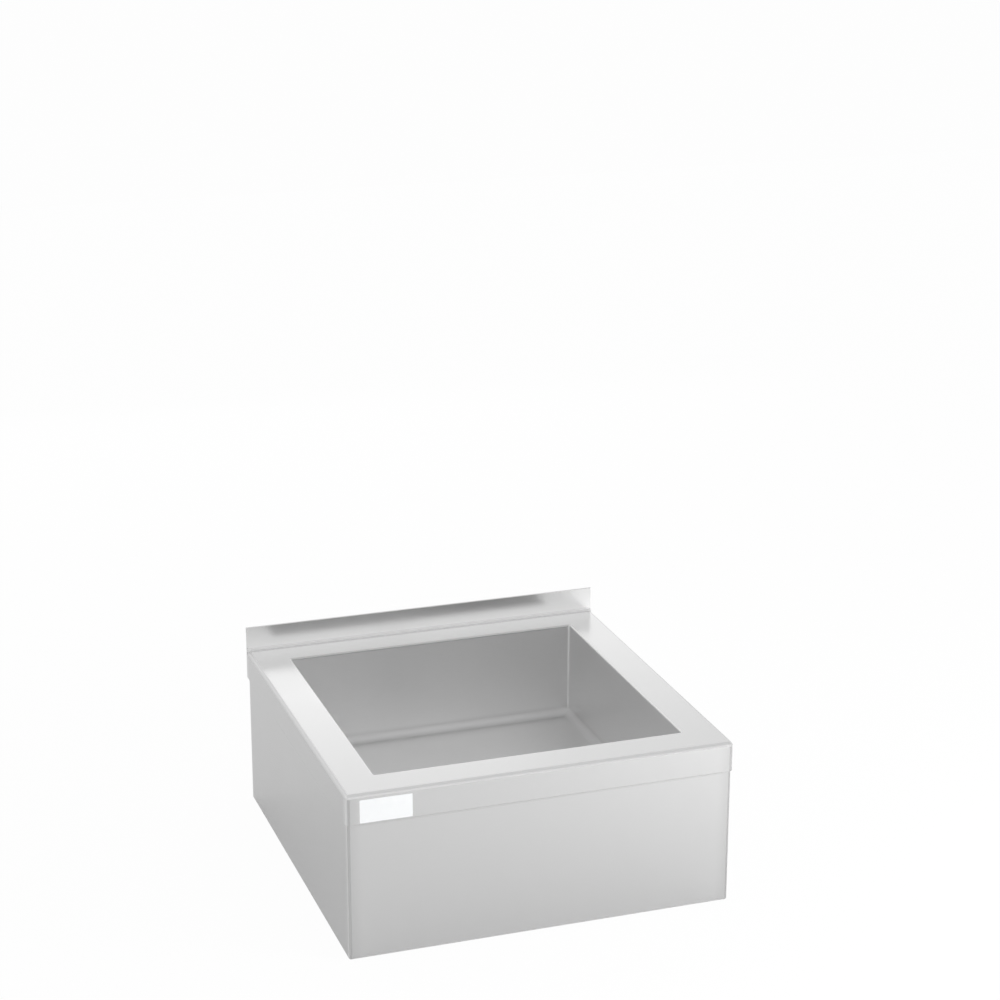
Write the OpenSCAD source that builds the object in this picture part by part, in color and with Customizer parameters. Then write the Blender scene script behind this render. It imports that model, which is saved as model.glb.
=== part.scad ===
// Floor-standing stainless steel mop service sink. A folded deck with a low backsplash carries a
// welded bowl with a coved, pitched floor. A wrap-round skirt stands on the floor and hides the
// levelling feet, and a basket drain with a lift-out strainer hangs under the bowl.
// Millimetres, +Z up, front towards -Y. The origin is on the floor, under the middle of the sink.

/* [Deck and backsplash] */
// Overall width, left to right
width = 762; // [690:1:900]
// Overall depth, front to back
depth = 762; // [725:1:900]
// Height of the deck above the floor
deck_h = 330; // [310:1:420]
// Height of the backsplash above the deck
splash_rise = 51; // [35:1:120]
// Height of the turned-down band round the deck
band_h = 60; // [40:1:90]
// Height of the flat hems on the band and the backsplash
hem_h = 12; // [8:0.5:18]
// Outer radius of the deck's folded edges and corners
bend_r = 8; // [7:0.5:12]
// Radius of the cove between the deck and the backsplash
splash_bend_r = 4; // [4:0.5:12]
// Thickness of the steel sheet
sheet = 1.5; // [1.2:0.1:2]

/* [Bowl] */
// Width of the bowl between its walls
bowl_w = 610; // [420:1:690]
// Length of the bowl between its walls, front to back
bowl_d = 610; // [420:1:640]
// Depth of the bowl at the foot of its walls, below the deck
bowl_depth = 203; // [150:1:220]
// Width of the deck in front of the bowl
front_rim = 76; // [40:1:110]
// Radius of the bend from the deck into the bowl
rim_bend_r = 3; // [2.5:0.5:8]
// Radius of the bowl's upright corners
bowl_corner_r = 4; // [3:0.5:25]
// Radius of the cove between the walls and the floor
floor_cove_r = 16; // [8:1:40]
// Fall of the floor from the foot of the walls to the middle
floor_fall = 5; // [2:0.5:12]

/* [Skirt] */
// Outer radius of the bends at the skirt's floor flange
skirt_bend_r = 3; // [2.2:0.1:3.5]
// Width of the flanges under the deck and on the floor
flange_w = 15; // [10:0.5:17]
// Width of the skirt's upright returns at the back
return_w = 20; // [17:0.5:30]
// Width of the notch for the waste pipe in the rear panel
pipe_notch_w = 160; // [60:1:240]
// Height of the notch for the waste pipe
pipe_notch_h = 110; // [40:1:180]
// Radius of the notch's upper corners
pipe_notch_r = 5; // [4:1:25]

/* [Bowl channels] */
// Distance from the middle of the sink to each channel
channel_x = 155; // [105:1:170]
// Width over the channel's lips
channel_w = 60; // [44:1:80]
// Width of the channel's web
channel_web = 32; // [20:1:36]
// Depth of the channel
channel_h = 25; // [15:1:32]
// Height of the tabs at the ends, over the web
channel_tab_h = 45; // [30:1:60]

/* [Levelling feet] */
// Distance from the skirt's inner faces to each foot's axis
foot_inset = 34; // [33:0.5:45]
// Length of the corner bracket along each wall
bracket_l = 66; // [62:1:90]
// Height of the bracket's shelf above the floor
shelf_z = 34; // [30:0.5:45]
// Height of the bracket's upright flanges
bracket_h = 28; // [15:1:40]
// Thickness of the bracket
bracket_t = 3; // [2:0.5:4]
// Diameter of the foot's stud
stud_d = 10; // [8:1:12]
// Height of the stud's top end above the floor
stud_top_z = 76; // [65:1:85]
// Width across the flats of the weld nut and the jam nut
nut_flats = 17; // [15:0.5:19]
// Height of the weld nut
weld_nut_h = 8; // [6:0.5:12]
// Height of the jam nut
jam_nut_h = 6; // [4:0.5:7]
// Width across the flats of the stud's wrench hexagon
wrench_flats = 14; // [13:0.5:17]
// Height of the wrench hexagon
wrench_h = 8; // [5:0.5:10]
// Diameter of the nylon glide
glide_d = 32; // [28:1:34]
// Height of the nylon glide
glide_h = 8; // [6:0.5:10]

/* [Sound pads] */
// Length of a damping pad
pad_l = 220; // [80:1:320]
// Height of a damping pad
pad_h = 100; // [50:1:110]
// Thickness of a damping pad
pad_t = 3; // [2:0.5:5]
// Corner radius of a damping pad
pad_r = 14; // [4:1:24]

/* [Drain] */
// Diameter of the drain flange
drain_flange_d = 114; // [108:0.5:116]
// Thickness of the drain flange
drain_flange_t = 2.2; // [1.5:0.1:3]
// Diameter of the threaded drain body
drain_body_d = 88; // [86:0.5:92]
// Depth of the pressed recess round the drain
recess_h = 2.5; // [1.5:0.5:5]
// Diameter of the recess at its flat seat
recess_d = 117; // [117:0.5:125]
// Wall of the drain body
drain_wall = 2.5; // [2:0.1:3]
// Depth of the ledge that the basket sits on, below the bowl's seat
ledge_depth = 6; // [4:0.5:9]
// Width of that ledge
ledge_w = 3; // [2.5:0.1:4]
// Height of the threaded part below the bowl
thread_h = 22; // [20:0.5:26]
// Inner diameter of the outlet
outlet_d = 40; // [36:0.5:42]
// Outer diameter of the threaded outlet spigot
spigot_d = 48; // [46:0.5:52]
// Length of the outlet spigot
spigot_h = 18; // [16:0.5:24]
// Thickness of the rubber gasket under the bowl
gasket_t = 3; // [2:0.5:4]
// Thickness of the fibre slip ring
slip_ring_t = 1; // [0.8:0.1:2]
// Height of the locknut
locknut_h = 12; // [8:0.5:14]
// Diameter of the locknut without its lugs
locknut_d = 108; // [102:1:112]
// Reach of the locknut's lugs
lug_reach = 6; // [3:0.5:10]
// Outer diameter of the tailpiece tube
tail_d = 38; // [32:0.5:40]
// Wall of the tailpiece tube
tail_wall = 1.2; // [0.8:0.1:2]
// Height of the tailpiece's lower end above the floor
tail_end_z = 15; // [5:1:25]
// Step by which the tailpiece is flared under its flange
tail_flare = 0.5; // [0.3:0.1:1]
// Height over which the flare tapers to the plain tube
tail_flare_h = 3; // [2:0.5:5]
// Height of the coupling nut
coupling_h = 15; // [13:0.5:18]

/* [Strainer and stopper] */
// Depth of the basket below its rim
basket_h = 22; // [16:0.5:24]
// Thickness of the basket's sheet
basket_t = 1; // [0.7:0.1:1.4]
// Diameter of the holes in the basket
hole_d = 4; // [2.5:0.1:4.4]
// Thickness of the rubber seal
seal_t = 5; // [4:0.5:7]
// Travel of the stopper from open to closed
stopper_travel = 7; // [4:0.5:7]
// Diameter of the stopper's post
post_d = 8; // [6:0.5:9]
// Diameter of the knob
knob_d = 24; // [18:0.5:30]
// Height of the knob
knob_h = 10; // [8:0.5:12]

/* [Clearances] */
// Gap between parts that move past each other
run_gap = 0.3; // [0.2:0.05:0.5]
// Gap at a thread's flanks, drawn as a plain cylinder
thread_gap = 0.1; // [0.05:0.05:0.2]

/* [Hidden] */
$fn = 64;
steel = [0.8, 0.81, 0.82];
zinc = [0.7, 0.71, 0.72];
brass = [0.78, 0.65, 0.38];
rubber = [0.13, 0.13, 0.14];
nylon = [0.2, 0.2, 0.21];
fibre = [0.55, 0.42, 0.3];
felt = [0.3, 0.31, 0.33];

// Heights
top_z = deck_h + splash_rise;
band_z = deck_h - band_h;
floor_z = deck_h - bowl_depth;
seat_z = floor_z - floor_fall - recess_h;
skirt_top_z = deck_h - sheet;

// Places front to back
front_y = -depth / 2;
rear_y = depth / 2;
splash_y = rear_y - 2 * sheet;
splash_start_y = splash_y - splash_bend_r;
bowl_y = front_y + front_rim + bowl_d / 2;

// The skirt nests inside the band's hem
skirt_x = width / 2 - 2 * sheet;
skirt_y = depth / 2 - 2 * sheet;
skirt_r = bend_r - 2 * sheet;
inner_x = skirt_x - sheet;
inner_y = skirt_y - sheet;
rear_flange_x = skirt_x - return_w - sheet;

// The channels touch the lowest line of the bowl's sloping underside above them
channel_near_x = channel_x - channel_w / 2;
floor_half_w = bowl_w / 2 - floor_cove_r;
channel_z = floor_z - sheet - floor_fall * (1 - channel_near_x / floor_half_w) - thread_gap;

// The recess widens upwards through the sloping floor
recess_spread = 3;
recess_top = recess_h + floor_fall;

// Levelling feet
glide_floor = 3;
glide_taper = 2;
foot_base_d = 22;
stud_chamfer = 1;
bracket_cut = bracket_l / 2 - bracket_t;

// Drain, in heights below the flange's seat
throat_r = drain_body_d / 2 - drain_wall;
ledge_r = throat_r - ledge_w;
basket_z = -ledge_depth + run_gap + basket_t;
basket_low = basket_z - basket_h;
seal_top = basket_low - run_gap;
seal_low = seal_top - seal_t;
cup_low = seal_low - stopper_travel - run_gap;
spigot_top = cup_low - drain_wall;
spigot_low = spigot_top - spigot_h;
seal_lap = 5;
seal_taper = 1;
seal_room = 2;
seal_r = outlet_d / 2 + seal_lap;
cup_floor_r = seal_r + seal_room;
flange_edge = 1;
drain_hole_room = 4;
drain_hole_d = drain_body_d + drain_hole_room;
gasket_room = 1;
gasket_d = recess_d - gasket_room;
lug_count = 6;
lug_w = 12;
washer_t = 2;
tail_flange_t = 2;
coupling_wall = 4;
coupling_ribs = 12;
rib_w = 4;
rib_reach = 1.5;

// Crossbar in the outlet that guides the stopper's tip
tip_d = 6;
tip_reach = 1;
cross_drop = 3;
cross_t = 4;
cross_z = spigot_top - cross_drop - cross_t;
hub_d = 12;
spoke_w = 2.6;
spokes = 4;

// Strainer
basket_room = 1;
basket_r = ledge_r - basket_room;
rim_room = 0.4;
basket_rim_r = throat_r - run_gap - rim_room;
basket_bend_r = 5;
bush_wall = 2;
bush_d = post_d + 2 * run_gap + 2 * bush_wall;
bush_h = 6;
wall_rows = 2;
wall_holes = 24;
hole_pitch = 6.5;
first_hole_r = bush_d / 2 + hole_d;
last_hole_r = basket_r - basket_bend_r - hole_d / 2;
rivet_d = 14;
rivet_t = 2;
knob_z = -2;
knob_neck_d = 14;
knob_crown = 3;

// How far a cutter runs past what it cuts
past = 1;

// ---- Shared shapes ----

// Quarter ring: a sheet bend seen end on, with outer radius r, turned by an angle
module bend(r, turn, thick = sheet) {
    rotate(turn)
        intersection() {
            difference() {
                circle(r = r);
                circle(r = r - thick);
            }
            square(r);
        }
}

// Rectangle with round corners, in the middle
module rounded(w, d, r) {
    square([w - 2 * r, d], center = true);
    square([w, d - 2 * r], center = true);
    for (x = [-1, 1], y = [-1, 1])
        translate([x * (w / 2 - r), y * (d / 2 - r)])
            circle(r = r);
}

// Sweeps a section round a rectangle with round corners. In the section, x = 0 is the corner's
// axis and x = r is the rectangle's edge.
module ring(w, d, r) {
    for (side = [0 : 3]) {
        run = (side % 2 == 0 ? d : w) - 2 * r;
        reach = (side % 2 == 0 ? w : d) / 2 - r;
        rotate([0, 0, 90 * side])
            translate([reach, run / 2, 0]) {
                rotate([90, 0, 0])
                    linear_extrude(run)
                        children();
                rotate_extrude(angle = 90)
                    children();
            }
    }
}

// Runs a section drawn front to back (x) and up (y) along the width
module across(w) {
    rotate([90, 0, 90])
        linear_extrude(w, center = true)
            children();
}

// Runs a section drawn left to right (x) and up (y) from y0 to y1
module along(y0, y1) {
    translate([0, y1, 0])
        rotate([90, 0, 0])
            linear_extrude(y1 - y0)
                children();
}

// A ring standing on z, with a hole
module washer(outer_d, inner_d, z, h) {
    translate([0, 0, z])
        difference() {
            cylinder(d = outer_d, h = h);
            translate([0, 0, -past])
                cylinder(d = inner_d, h = h + 2 * past);
        }
}

// Hexagonal bar by its width across the flats
module hexagon(flats, h) {
    cylinder(r = flats / sqrt(3), h = h, $fn = 6);
}

// ---- Deck and backsplash ----

// Bend at the deck's edge
module deck_bend_section() {
    translate([0, deck_h - bend_r])
        bend(bend_r, 0);
}

// Turned-down band with its flat hem
module band_section() {
    leaf = bend_r - sheet;
    translate([leaf, band_z + sheet])
        square([sheet, band_h - bend_r - sheet]);
    translate([leaf - sheet, band_z + sheet])
        square([2 * sheet, hem_h - sheet]);
    translate([leaf, band_z + sheet])
        circle(r = sheet);
}

// A section swept round the front and both sides of the deck, back to a given y
module deck_edge(end_y) {
    difference() {
        translate([0, front_y + depth, 0])
            ring(width, 2 * depth, bend_r)
                children();
        translate([-width, end_y, 0])
            cube([2 * width, 2 * depth, top_z]);
    }
}

// Backsplash with its cove and its hem at the top
module splash_section() {
    translate([splash_start_y, deck_h + splash_bend_r])
        bend(splash_bend_r + sheet, -90);
    translate([splash_y, deck_h + splash_bend_r])
        square([sheet, splash_rise - splash_bend_r - sheet]);
    translate([splash_y, top_z - hem_h])
        square([2 * sheet, hem_h - sheet]);
    translate([splash_y + sheet, top_z - sheet])
        circle(r = sheet);
}

// Welded cheek that closes the end of the cove
module cheek_section() {
    difference() {
        translate([splash_start_y, deck_h - bend_r])
            square([splash_bend_r + sheet, bend_r + splash_bend_r]);
        translate([splash_start_y, deck_h + splash_bend_r])
            circle(r = splash_bend_r);
    }
}

module top_deck() {
    color(steel) {
        difference() {
            translate([-(width / 2 - bend_r), front_y + bend_r, deck_h - sheet])
                cube([width - 2 * bend_r, splash_start_y - front_y - bend_r, sheet]);
            translate([0, bowl_y, deck_h - sheet - past])
                linear_extrude(sheet + 2 * past)
                    rounded(bowl_w + 2 * rim_bend_r, bowl_d + 2 * rim_bend_r, bowl_corner_r + rim_bend_r);
        }
        deck_edge(splash_start_y)
            deck_bend_section();
        deck_edge(rear_y - sheet)
            band_section();
        across(width)
            splash_section();
        for (side = [-1, 1])
            translate([side * (width - sheet) / 2, 0, 0])
                across(sheet)
                    cheek_section();
    }
}

// ---- Bowl ----

// Section of the bowl one way: straight walls, coved edges and a floor that falls to the middle
module bowl_section(span, grow, top) {
    half = span / 2 + grow;
    r = floor_cove_r + grow;
    base = floor_z - grow;
    translate([-half, base + r])
        square([2 * half, top - base - r]);
    for (side = [-1, 1])
        translate([side * (half - r), base + r])
            circle(r = r);
    polygon([
        [half - r, base + r], [half - r, base], [0, base - floor_fall],
        [r - half, base], [r - half, base + r]
    ]);
}

// The bowl's form, grown outwards by grow. The two sections cross, so the coves meet in mitres and
// the floor gets its four creases.
module bowl_form(grow, top) {
    translate([0, bowl_y, 0])
        intersection() {
            rotate([90, 0, 0])
                linear_extrude(bowl_d + 4 * grow + past, center = true)
                    bowl_section(bowl_w, grow, top);
            rotate([90, 0, 90])
                linear_extrude(bowl_w + 4 * grow + past, center = true)
                    bowl_section(bowl_d, grow, top);
            linear_extrude(top_z)
                rounded(bowl_w + 2 * grow, bowl_d + 2 * grow, bowl_corner_r + grow);
        }
}

// Pressed recess round the drain, grown outwards by grow
module recess_form(grow, rise) {
    translate([0, bowl_y, seat_z - grow])
        cylinder(
            d1 = recess_d + 2 * grow,
            d2 = recess_d + 2 * grow + 2 * recess_spread * rise / recess_top,
            h = rise
        );
}

// Bend from the deck down into the bowl
module rim_section() {
    translate([bowl_corner_r + rim_bend_r, deck_h - rim_bend_r])
        bend(rim_bend_r, 90);
}

module bowl() {
    color(steel) {
        difference() {
            union() {
                bowl_form(sheet, deck_h - rim_bend_r);
                recess_form(sheet, recess_h + sheet);
            }
            bowl_form(0, deck_h + past);
            recess_form(0, recess_top);
            translate([0, bowl_y, seat_z - sheet - past])
                cylinder(d = drain_hole_d, h = sheet + 2 * past);
        }
        translate([0, bowl_y, 0])
            ring(bowl_w, bowl_d, bowl_corner_r)
                rim_section();
    }
}

// ---- Skirt and rear panel ----

// Upright leaf with a bend to each flange. The upper bend clears the inside of the deck's bend.
module skirt_section() {
    flat = skirt_r - skirt_bend_r;
    translate([skirt_r - sheet, skirt_bend_r])
        square([sheet, skirt_top_z - skirt_r - skirt_bend_r]);
    translate([flat, skirt_bend_r])
        bend(skirt_bend_r, -90);
    square([flat, sheet]);
    translate([0, skirt_top_z - skirt_r])
        bend(skirt_r, 0);
}

module wrap_skirt() {
    window_x = skirt_x - return_w;
    color(steel)
        difference() {
            union() {
                ring(2 * skirt_x, 2 * skirt_y, skirt_r)
                    skirt_section();
                for (z = [0, skirt_top_z - sheet])
                    translate([0, 0, z])
                        linear_extrude(sheet)
                            difference() {
                                square([2 * (skirt_x - skirt_r), 2 * (skirt_y - skirt_r)], center = true);
                                square([2 * (skirt_x - flange_w), 2 * (skirt_y - flange_w)], center = true);
                            }
            }
            translate([-window_x, skirt_y - flange_w - past, -past])
                cube([2 * window_x, flange_w + 2 * past, deck_h + past]);
        }
}

// Rear panel from the side: upright leaf, floor flange and deck flange
module rear_section() {
    face = skirt_y + sheet;
    translate([face - skirt_bend_r, skirt_bend_r])
        bend(skirt_bend_r, -90);
    translate([face - skirt_bend_r, skirt_top_z - skirt_bend_r])
        bend(skirt_bend_r, 0);
    for (z = [0, skirt_top_z - sheet])
        translate([face - flange_w, z])
            square([flange_w - skirt_bend_r, sheet]);
    translate([skirt_y, skirt_bend_r])
        square([sheet, skirt_top_z - 2 * skirt_bend_r]);
}

module rear_panel() {
    color(steel)
        difference() {
            union() {
                across(2 * rear_flange_x)
                    rear_section();
                across(2 * (skirt_x - skirt_r))
                    translate([skirt_y, skirt_bend_r])
                        square([sheet, skirt_top_z - 2 * skirt_bend_r]);
            }
            along(skirt_y - flange_w, rear_y + past)
                union() {
                    translate([-pipe_notch_w / 2, -past])
                        square([pipe_notch_w, pipe_notch_h - pipe_notch_r + past]);
                    translate([0, pipe_notch_h - pipe_notch_r])
                        square([pipe_notch_w - 2 * pipe_notch_r, 2 * pipe_notch_r], center = true);
                    for (side = [-1, 1])
                        translate([side * (pipe_notch_w / 2 - pipe_notch_r), pipe_notch_h - pipe_notch_r])
                            circle(r = pipe_notch_r);
                }
        }
}

// ---- Channels under the bowl ----

module hat_section() {
    lip = (channel_w - channel_web) / 2;
    for (side = [-1, 1]) {
        translate([side * (channel_w - lip) / 2, -sheet / 2])
            square([lip, sheet], center = true);
        translate([side * (channel_web - sheet) / 2, -channel_h / 2])
            square([sheet, channel_h], center = true);
    }
    translate([-channel_web / 2, -channel_h])
        square([channel_web, sheet]);
}

module channel(side) {
    tab_w = channel_web - 2 * sheet;
    color(zinc)
        translate([side * channel_x, 0, channel_z]) {
            along(-inner_y, skirt_y)
                hat_section();
            for (y = [-inner_y, skirt_y - sheet])
                translate([-tab_w / 2, y, -channel_h])
                    cube([tab_w, sheet, channel_tab_h]);
        }
}

// ---- Levelling feet ----

// Puts a shape drawn inwards from the origin into one corner of the skirt
module in_corner(x, y) {
    translate([x * inner_x, y * inner_y, 0])
        mirror([x > 0 ? 1 : 0, 0, 0])
            mirror([0, y > 0 ? 1 : 0, 0])
                children();
}

module on_foot_axis(x, y) {
    in_corner(x, y)
        translate([foot_inset, foot_inset, 0])
            children();
}

module foot_bracket(x, y) {
    color(zinc)
        in_corner(x, y)
            translate([0, 0, shelf_z]) {
                linear_extrude(bracket_t)
                    difference() {
                        polygon([
                            [skirt_r, 0], [bracket_l, 0], [bracket_l, bracket_cut],
                            [bracket_cut, bracket_l], [0, bracket_l], [0, skirt_r]
                        ]);
                        translate([foot_inset, foot_inset])
                            circle(d = stud_d + 2 * run_gap);
                    }
                translate([skirt_r, 0, 0])
                    cube([bracket_l - skirt_r, bracket_t, bracket_h]);
                translate([0, skirt_r, 0])
                    cube([bracket_t, bracket_l - skirt_r, bracket_h]);
            }
}

// One nut on each foot's stud, standing on z
module foot_nuts(z, h) {
    color(zinc)
        for (x = [-1, 1], y = [-1, 1])
            on_foot_axis(x, y)
                translate([0, 0, z])
                    difference() {
                        hexagon(nut_flats, h);
                        translate([0, 0, -past])
                            cylinder(d = stud_d + 2 * run_gap, h = h + 2 * past);
                    }
}

module foot_stud(x, y) {
    color(zinc)
        on_foot_axis(x, y) {
            translate([0, 0, glide_floor])
                cylinder(d = foot_base_d, h = glide_h - glide_floor);
            translate([0, 0, glide_h])
                hexagon(wrench_flats, wrench_h);
            translate([0, 0, glide_h])
                cylinder(d = stud_d, h = stud_top_z - glide_h - stud_chamfer);
            translate([0, 0, stud_top_z - stud_chamfer])
                cylinder(d1 = stud_d, d2 = stud_d - 2 * stud_chamfer, h = stud_chamfer);
        }
}

module foot_pad(x, y) {
    color(nylon)
        on_foot_axis(x, y)
            difference() {
                union() {
                    cylinder(d = glide_d, h = glide_floor);
                    translate([0, 0, glide_floor])
                        cylinder(d1 = glide_d, d2 = glide_d - glide_taper, h = glide_h - glide_floor);
                }
                translate([0, 0, glide_floor])
                    cylinder(d = foot_base_d, h = glide_h);
            }
}

// ---- Sound pads ----

// A pad on the bowl wall that faces a given side: 0 right, 1 rear, 2 left, 3 front
module sound_pad(side) {
    wall = (side % 2 == 0 ? bowl_w : bowl_d) / 2 + sheet;
    color(felt)
        translate([0, bowl_y, (deck_h + floor_z) / 2])
            rotate([0, 0, 90 * side])
                translate([wall, 0, 0])
                    rotate([90, 0, 90])
                        linear_extrude(pad_t)
                            rounded(pad_l, pad_h, pad_r);
}

// ---- Drain ----

// Puts a shape on the drain's axis, with z = 0 at the flange's seat
module at_drain() {
    translate([0, bowl_y, seat_z])
        children();
}

module drain_section() {
    polygon([
        [throat_r + flange_edge, drain_flange_t],
        [drain_flange_d / 2 - flange_edge, drain_flange_t],
        [drain_flange_d / 2, drain_flange_t - flange_edge],
        [drain_flange_d / 2, 0],
        [drain_body_d / 2, 0],
        [drain_body_d / 2, -thread_h],
        [cup_floor_r + drain_wall, cup_low],
        [cup_floor_r, spigot_top],
        [spigot_d / 2, spigot_top],
        [spigot_d / 2, spigot_low],
        [outlet_d / 2, spigot_low],
        [outlet_d / 2, cup_low],
        [cup_floor_r, cup_low],
        [ledge_r, -thread_h],
        [ledge_r, -ledge_depth],
        [throat_r, -ledge_depth],
        [throat_r, drain_flange_t - flange_edge]
    ]);
}

module drain_body() {
    color(steel)
        at_drain()
            rotate_extrude()
                drain_section();
}

module outlet_crossbar() {
    color(steel)
        at_drain()
            translate([0, 0, cross_z])
                linear_extrude(cross_t)
                    difference() {
                        intersection() {
                            union() {
                                circle(d = hub_d);
                                for (i = [0 : spokes - 1])
                                    rotate(360 / spokes * i)
                                        translate([0, -spoke_w / 2])
                                            square([outlet_d, spoke_w]);
                            }
                            circle(d = outlet_d);
                        }
                        circle(d = tip_d + 2 * run_gap);
                    }
}

module drain_gasket() {
    color(rubber)
        at_drain()
            washer(gasket_d, drain_body_d + 2 * thread_gap, -sheet - gasket_t, gasket_t);
}

module drain_slip_ring() {
    color(fibre)
        at_drain()
            washer(locknut_d, drain_body_d + 2 * thread_gap, -sheet - gasket_t - slip_ring_t, slip_ring_t);
}

module drain_locknut() {
    color(brass)
        at_drain()
            translate([0, 0, -sheet - gasket_t - slip_ring_t - locknut_h])
                difference() {
                    union() {
                        cylinder(d = locknut_d, h = locknut_h);
                        for (i = [0 : lug_count - 1])
                            rotate([0, 0, 360 / lug_count * i])
                                translate([0, -lug_w / 2, 0])
                                    cube([locknut_d / 2 + lug_reach, lug_w, locknut_h]);
                    }
                    translate([0, 0, -past])
                        cylinder(d = drain_body_d + 2 * thread_gap, h = locknut_h + 2 * past);
                }
}

module tail_washer() {
    color(rubber)
        at_drain()
            washer(spigot_d, outlet_d, spigot_low - washer_t, washer_t);
}

// Half section of the tailpiece: a flange, a flared neck inside the nut's lip and the plain tube
module tail_section() {
    flange_z = spigot_low - washer_t - tail_flange_t;
    tube_z = tail_end_z - seat_z;
    neck_z = flange_z - coupling_wall - flange_edge;
    bore_r = tail_d / 2 - tail_wall;
    polygon([
        [bore_r, tube_z],
        [tail_d / 2, tube_z],
        [tail_d / 2, neck_z - tail_flare_h],
        [tail_d / 2 + tail_flare, neck_z],
        [tail_d / 2 + tail_flare, flange_z],
        [spigot_d / 2, flange_z],
        [spigot_d / 2, flange_z + tail_flange_t],
        [bore_r, flange_z + tail_flange_t]
    ]);
}

module tailpiece() {
    color(steel)
        at_drain()
            rotate_extrude()
                tail_section();
}

module coupling_nut() {
    outer_r = spigot_d / 2 + coupling_wall;
    lip_z = spigot_low - washer_t - tail_flange_t;
    low_z = lip_z - coupling_wall;
    color(steel)
        at_drain()
            difference() {
                union() {
                    translate([0, 0, low_z])
                        cylinder(r = outer_r, h = coupling_h);
                    for (i = [0 : coupling_ribs - 1])
                        rotate([0, 0, 360 / coupling_ribs * i])
                            translate([0, -rib_w / 2, low_z])
                                cube([outer_r + rib_reach, rib_w, coupling_h]);
                }
                translate([0, 0, lip_z])
                    cylinder(d = spigot_d + 2 * thread_gap, h = coupling_h);
                translate([0, 0, low_z - past])
                    cylinder(d = tail_d + 2 * tail_flare + 2 * thread_gap, h = coupling_h);
            }
}

// ---- Strainer and stopper ----

// Half section of the basket's shell, with the bush that guides the post
module basket_section() {
    translate([basket_r - basket_t, basket_z - basket_t])
        square([basket_rim_r - basket_r + basket_t, basket_t]);
    translate([basket_r - basket_t, basket_low + basket_bend_r])
        square([basket_t, basket_h - basket_bend_r]);
    translate([basket_r - basket_bend_r, basket_low + basket_bend_r])
        bend(basket_bend_r, -90, basket_t);
    translate([post_d / 2 + run_gap, basket_low])
        square([basket_r - basket_bend_r - post_d / 2 - run_gap, basket_t]);
    translate([post_d / 2 + run_gap, basket_low])
        square([(bush_d - post_d) / 2 - run_gap, bush_h]);
}

// Ring of holes through the basket's floor, as many as fit at the pitch
module hole_ring(r) {
    holes = floor(2 * PI * r / hole_pitch);
    for (i = [0 : holes - 1])
        rotate([0, 0, 360 / holes * i])
            translate([r, 0, basket_low - past])
                cylinder(d = hole_d, h = basket_t + 2 * past);
}

// Row of holes through the basket's wall, staggered by half a pitch from the row below
module wall_row(row) {
    row_z = basket_low + basket_bend_r + hole_pitch * (row + 0.5);
    for (i = [0 : wall_holes - 1])
        rotate([0, 0, 360 / wall_holes * (i + row / 2)])
            translate([basket_r - basket_t - past, 0, row_z])
                rotate([0, 90, 0])
                    cylinder(d = hole_d, h = basket_t + 2 * past);
}

module strainer_basket() {
    color(steel)
        at_drain()
            difference() {
                rotate_extrude()
                    basket_section();
                for (r = [first_hole_r : hole_pitch : last_hole_r])
                    hole_ring(r);
                for (row = [0 : wall_rows - 1])
                    wall_row(row);
            }
}

module stopper_post() {
    post_top = knob_z - knob_h / 2;
    tip_low = cross_z - tip_reach;
    color(steel)
        at_drain() {
            translate([0, 0, seal_low])
                cylinder(d = post_d, h = post_top - seal_low);
            translate([0, 0, seal_low - rivet_t])
                cylinder(d = rivet_d, h = rivet_t);
            translate([0, 0, tip_low])
                cylinder(d = tip_d, h = seal_low - tip_low);
        }
}

module stopper_knob() {
    color(nylon)
        at_drain()
            difference() {
                rotate_extrude()
                    knob_section();
                translate([0, 0, knob_z - knob_h - past])
                    cylinder(d = post_d, h = knob_h / 2 + past);
            }
}

// Half section of the knob: a neck and a round-edged grip
module knob_section() {
    grip_h = knob_h - knob_crown;
    translate([0, knob_z - knob_h])
        square([knob_neck_d / 2, knob_h]);
    translate([0, knob_z - grip_h])
        square([knob_d / 2 - grip_h / 2, grip_h]);
    translate([knob_d / 2 - grip_h / 2, knob_z - grip_h / 2])
        circle(r = grip_h / 2);
}

module stopper_seal() {
    color(rubber)
        at_drain()
            difference() {
                translate([0, 0, seal_low])
                    cylinder(r1 = seal_r, r2 = seal_r - seal_taper, h = seal_t);
                translate([0, 0, seal_low - past])
                    cylinder(d = post_d, h = seal_t + 2 * past);
            }
}

top_deck();
bowl();
wrap_skirt();
rear_panel();
channel(-1);  // channel_left
channel(1);  // channel_right
foot_bracket(-1, -1);  // foot_bracket_front_left
foot_bracket(1, -1);  // foot_bracket_front_right
foot_bracket(-1, 1);  // foot_bracket_rear_left
foot_bracket(1, 1);  // foot_bracket_rear_right
foot_nuts(shelf_z + bracket_t, weld_nut_h);  // weld_nuts
foot_nuts(shelf_z - jam_nut_h, jam_nut_h);  // jam_nuts
foot_stud(-1, -1);  // foot_stud_front_left
foot_stud(1, -1);  // foot_stud_front_right
foot_stud(-1, 1);  // foot_stud_rear_left
foot_stud(1, 1);  // foot_stud_rear_right
foot_pad(-1, -1);  // foot_pad_front_left
foot_pad(1, -1);  // foot_pad_front_right
foot_pad(-1, 1);  // foot_pad_rear_left
foot_pad(1, 1);  // foot_pad_rear_right
sound_pad(3);  // sound_pad_front
sound_pad(1);  // sound_pad_rear
sound_pad(2);  // sound_pad_left
sound_pad(0);  // sound_pad_right
drain_body();
outlet_crossbar();
drain_gasket();
drain_slip_ring();
drain_locknut();
tail_washer();
tailpiece();
coupling_nut();
strainer_basket();
stopper_post();
stopper_knob();
stopper_seal();
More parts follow.
